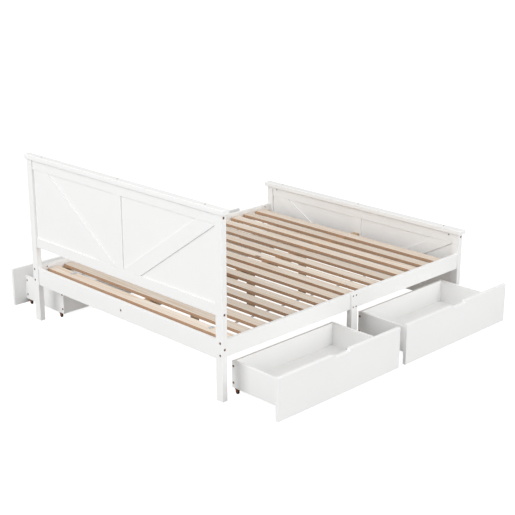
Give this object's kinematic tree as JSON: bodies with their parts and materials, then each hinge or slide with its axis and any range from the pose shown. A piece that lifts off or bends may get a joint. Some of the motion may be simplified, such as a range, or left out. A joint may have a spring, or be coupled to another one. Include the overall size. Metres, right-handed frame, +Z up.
{
  "type": "wooden bed frame",
  "caption": "Double bed frame in painted wood with braced head and foot boards, a slatted base and rolling storage drawers along both sides.",
  "frame": {"origin": "underside of the middle centre leg, on the floor at the middle of the bed frame", "axes": "+Y points to the head end, +Z up, +X to the right side of the bed as seen from its foot; the drawers are stored pulled out along X"},
  "size_m": [2.358, 2.078, 1.045],
  "materials": {
    "white_paint": "white satin paint on solid pine",
    "white_board": "white-faced thin board",
    "pine": "unpainted planed pine",
    "webbing": "woven light grey polyester tape",
    "dark_steel": "dark bronze zinc plating",
    "black_plastic": "matt black moulded plastic"
  },
  "bodies": {
    "bed_frame": {"head_post_left": "white_paint", "head_post_right": "white_paint", "foot_post_left": "white_paint", "foot_post_right": "white_paint", "head_cap": "white_paint", "foot_cap": "white_paint", "head_top_rail": "white_paint", "head_panel_rail": "white_paint", "head_panel": "white_paint", "head_trim": "white_paint", "foot_top_rail": "white_paint", "foot_panel_rail": "white_paint", "foot_panel": "white_paint", "foot_trim": "white_paint", "head_cross_rail": "white_paint", "side_rail_left_head": "white_paint", "side_rail_left_foot": "white_paint", "side_rail_right_head": "white_paint", "side_rail_right_foot": "white_paint", "middle_legs": "white_paint", "support_cleats": "pine", "centre_beam": "pine", "centre_legs": "pine", "slats": "pine", "slat_straps": "webbing", "frame_bolts": "dark_steel", "barrel_nuts": "dark_steel", "wood_screws": "dark_steel"},
    "drawer_left_head": {"drawer_left_head_front": "white_paint", "drawer_left_head_back": "white_paint", "drawer_left_head_sides": "white_paint", "drawer_left_head_base": "white_board", "drawer_left_head_casters": "dark_steel", "drawer_left_head_fasteners": "dark_steel"},
    "drawer_left_head_front_wheels": {"drawer_left_head_front_wheels": "black_plastic"},
    "drawer_left_head_back_wheels": {"drawer_left_head_back_wheels": "black_plastic"},
    "drawer_left_foot": {"drawer_left_foot_front": "white_paint", "drawer_left_foot_back": "white_paint", "drawer_left_foot_sides": "white_paint", "drawer_left_foot_base": "white_board", "drawer_left_foot_casters": "dark_steel", "drawer_left_foot_fasteners": "dark_steel"},
    "drawer_left_foot_front_wheels": {"drawer_left_foot_front_wheels": "black_plastic"},
    "drawer_left_foot_back_wheels": {"drawer_left_foot_back_wheels": "black_plastic"},
    "drawer_right_head": {"drawer_right_head_front": "white_paint", "drawer_right_head_back": "white_paint", "drawer_right_head_sides": "white_paint", "drawer_right_head_base": "white_board", "drawer_right_head_casters": "dark_steel", "drawer_right_head_fasteners": "dark_steel"},
    "drawer_right_head_front_wheels": {"drawer_right_head_front_wheels": "black_plastic"},
    "drawer_right_head_back_wheels": {"drawer_right_head_back_wheels": "black_plastic"},
    "drawer_right_foot": {"drawer_right_foot_front": "white_paint", "drawer_right_foot_back": "white_paint", "drawer_right_foot_sides": "white_paint", "drawer_right_foot_base": "white_board", "drawer_right_foot_casters": "dark_steel", "drawer_right_foot_fasteners": "dark_steel"},
    "drawer_right_foot_front_wheels": {"drawer_right_foot_front_wheels": "black_plastic"},
    "drawer_right_foot_back_wheels": {"drawer_right_foot_back_wheels": "black_plastic"}
  },
  "joints": [
    {"name": "drawer_left_head_slide", "type": "slide", "parent": "bed_frame", "child": "drawer_left_head", "axis": [-1, 0, 0], "range_m": [-0.371, 0.1]},
    {"name": "drawer_left_head_front_wheels_spin", "type": "hinge", "parent": "drawer_left_head", "child": "drawer_left_head_front_wheels", "pos_m": [-1.1398, 0.511, 0.012], "axis": [0, -1, 0], "continuous": true},
    {"name": "drawer_left_head_back_wheels_spin", "type": "hinge", "parent": "drawer_left_head", "child": "drawer_left_head_back_wheels", "pos_m": [-0.8168, 0.511, 0.012], "axis": [0, -1, 0], "continuous": true},
    {"name": "drawer_left_foot_slide", "type": "slide", "parent": "bed_frame", "child": "drawer_left_foot", "axis": [-1, 0, 0], "range_m": [-0.371, 0.1]},
    {"name": "drawer_left_foot_front_wheels_spin", "type": "hinge", "parent": "drawer_left_foot", "child": "drawer_left_foot_front_wheels", "pos_m": [-1.1398, -0.511, 0.012], "axis": [0, -1, 0], "continuous": true},
    {"name": "drawer_left_foot_back_wheels_spin", "type": "hinge", "parent": "drawer_left_foot", "child": "drawer_left_foot_back_wheels", "pos_m": [-0.8168, -0.511, 0.012], "axis": [0, -1, 0], "continuous": true},
    {"name": "drawer_right_head_slide", "type": "slide", "parent": "bed_frame", "child": "drawer_right_head", "axis": [1, 0, 0], "range_m": [-0.313, 0.158]},
    {"name": "drawer_right_head_front_wheels_spin", "type": "hinge", "parent": "drawer_right_head", "child": "drawer_right_head_front_wheels", "pos_m": [1.0818, 0.511, 0.012], "axis": [0, 1, 0], "continuous": true},
    {"name": "drawer_right_head_back_wheels_spin", "type": "hinge", "parent": "drawer_right_head", "child": "drawer_right_head_back_wheels", "pos_m": [0.7588, 0.511, 0.012], "axis": [0, 1, 0], "continuous": true},
    {"name": "drawer_right_foot_slide", "type": "slide", "parent": "bed_frame", "child": "drawer_right_foot", "axis": [1, 0, 0], "range_m": [-0.313, 0.158]},
    {"name": "drawer_right_foot_front_wheels_spin", "type": "hinge", "parent": "drawer_right_foot", "child": "drawer_right_foot_front_wheels", "pos_m": [1.0818, -0.511, 0.012], "axis": [0, 1, 0], "continuous": true},
    {"name": "drawer_right_foot_back_wheels_spin", "type": "hinge", "parent": "drawer_right_foot", "child": "drawer_right_foot_back_wheels", "pos_m": [0.7588, -0.511, 0.012], "axis": [0, 1, 0], "continuous": true}
  ],
  "couplings": [
    {"joint": "drawer_left_head_front_wheels_spin", "follows": "drawer_left_head_slide", "rad_per_m": 83.333},
    {"joint": "drawer_left_head_back_wheels_spin", "follows": "drawer_left_head_slide", "rad_per_m": 83.333},
    {"joint": "drawer_left_foot_front_wheels_spin", "follows": "drawer_left_foot_slide", "rad_per_m": 83.333},
    {"joint": "drawer_left_foot_back_wheels_spin", "follows": "drawer_left_foot_slide", "rad_per_m": 83.333},
    {"joint": "drawer_right_head_front_wheels_spin", "follows": "drawer_right_head_slide", "rad_per_m": 83.333},
    {"joint": "drawer_right_head_back_wheels_spin", "follows": "drawer_right_head_slide", "rad_per_m": 83.333},
    {"joint": "drawer_right_foot_front_wheels_spin", "follows": "drawer_right_foot_slide", "rad_per_m": 83.333},
    {"joint": "drawer_right_foot_back_wheels_spin", "follows": "drawer_right_foot_slide", "rad_per_m": 83.333}
  ]
}
